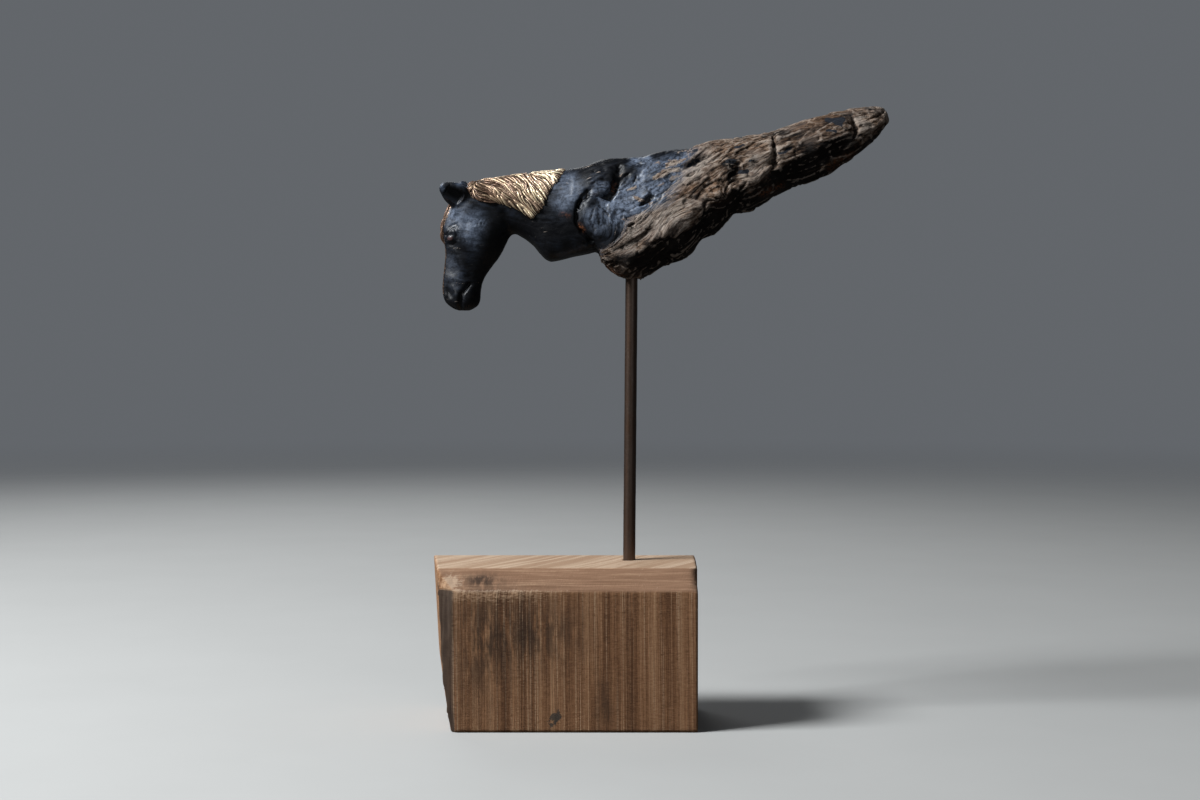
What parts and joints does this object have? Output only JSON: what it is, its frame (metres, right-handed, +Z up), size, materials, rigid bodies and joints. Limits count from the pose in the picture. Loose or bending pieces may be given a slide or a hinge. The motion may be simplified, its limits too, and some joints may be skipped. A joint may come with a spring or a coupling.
{
  "type": "driftwood horse head sculpture",
  "caption": "Horse's head and neck carved from one length of driftwood with a gilded mane, held up on a thin steel rod in a block of old timber.",
  "frame": {"origin": "on the underside of the timber block, halfway along its front foot and halfway through its depth", "axes": "+Z up, +X towards the tail of the driftwood, with the horse facing -X, and -Y towards the viewer"},
  "size_m": [0.2213, 0.064, 0.2956],
  "materials": {
    "carved_driftwood": "blue-black stain worn to bare weathered driftwood, with a bronze-gold mane",
    "steel_rod": "dark brown patina",
    "timber_block": "weathered, with a freshly sawn top and bevel"
  },
  "bodies": {
    "root": {"carved_driftwood": "carved_driftwood", "steel_rod": "steel_rod", "timber_block": "timber_block"}
  },
  "joints": []
}
